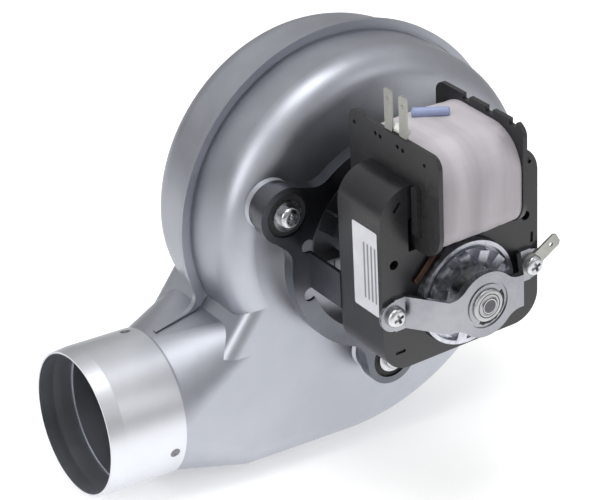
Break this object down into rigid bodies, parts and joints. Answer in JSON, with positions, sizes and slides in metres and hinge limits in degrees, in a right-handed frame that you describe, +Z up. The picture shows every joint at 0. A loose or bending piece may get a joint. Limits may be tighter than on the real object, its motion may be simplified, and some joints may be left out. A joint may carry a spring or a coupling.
{
  "type": "centrifugal fan",
  "caption": "Flue-gas blower: pressed scroll casing with round outlet tube, blade wheel inside and open-frame shaded-pole motor in front.",
  "frame": {"origin": "centre of the inlet in the casing's flat back face, on the shaft's axis", "axes": "+Y along the shaft out of the inlet, -Y towards the motor, -X the way the outlet tube points, +Z up"},
  "size_m": [0.2147, 0.1437, 0.1888],
  "materials": {
    "casing_sheet": "aluminised sheet, satin",
    "collar_sheet": "bright sheet",
    "rivet": "drawn steel",
    "bracket_sheet": "zinc plated sheet",
    "grommet_rubber": "matte black",
    "zinc_plate": "zinc plated",
    "stack_lacquer": "black lacquer, satin",
    "copper": "bare copper",
    "black_nylon": "moulded, matte",
    "enamelled_wire": "enamelled copper wire",
    "coil_tape": "woven tape",
    "tin_plate": "tin plated brass",
    "white_sleeve": "soft sleeve",
    "blue_sleeve": "soft sleeve",
    "bridge_zinc": "zinc plated strap",
    "bearing_bronze": "sintered bronze",
    "spring_steel": "blued spring steel",
    "shaft_steel": "ground",
    "rotor_iron": "ground laminations",
    "cast_end": "as cast",
    "light_sheet": "satin sheet",
    "wheel_sheet": "aluminised sheet",
    "hub_brass": "turned brass"
  },
  "bodies": {
    "casing": {"rear_shell": "casing_sheet", "front_shell": "casing_sheet", "outlet_collar": "collar_sheet", "collar_rivets": "rivet", "motor_bracket": "bracket_sheet", "bracket_grommets": "grommet_rubber", "grommet_washers": "zinc_plate", "bracket_screws": "zinc_plate", "stator_stack": "stack_lacquer", "stator_limb": "stack_lacquer", "shading_rings": "copper", "coil_bobbin": "black_nylon", "coil_winding": "enamelled_wire", "coil_tape": "coil_tape", "coil_terminals": "tin_plate", "lead_sleeve": "white_sleeve", "thermal_link": "blue_sleeve", "front_bridge": "bridge_zinc", "rear_bridge": "bridge_zinc", "front_bearing": "bearing_bronze", "rear_bearing": "bearing_bronze", "front_bearing_retainer": "spring_steel", "rear_bearing_retainer": "spring_steel", "bridge_screws": "zinc_plate", "bridge_nuts": "zinc_plate", "earth_tab": "tin_plate"},
    "rotor": {"rotor_shaft": "shaft_steel", "rotor_core": "rotor_iron", "rotor_end_front": "cast_end", "rotor_end_rear": "cast_end", "cooling_fan": "light_sheet", "wheel_disc": "wheel_sheet", "wheel_ring": "wheel_sheet", "wheel_blades": "wheel_sheet", "wheel_hub": "hub_brass", "wheel_nut": "zinc_plate"}
  },
  "joints": [
    {"name": "rotor_spin", "type": "hinge", "parent": "casing", "child": "rotor", "pos_m": [0, -0.111, 0], "axis": [0, 1, 0], "continuous": true}
  ]
}
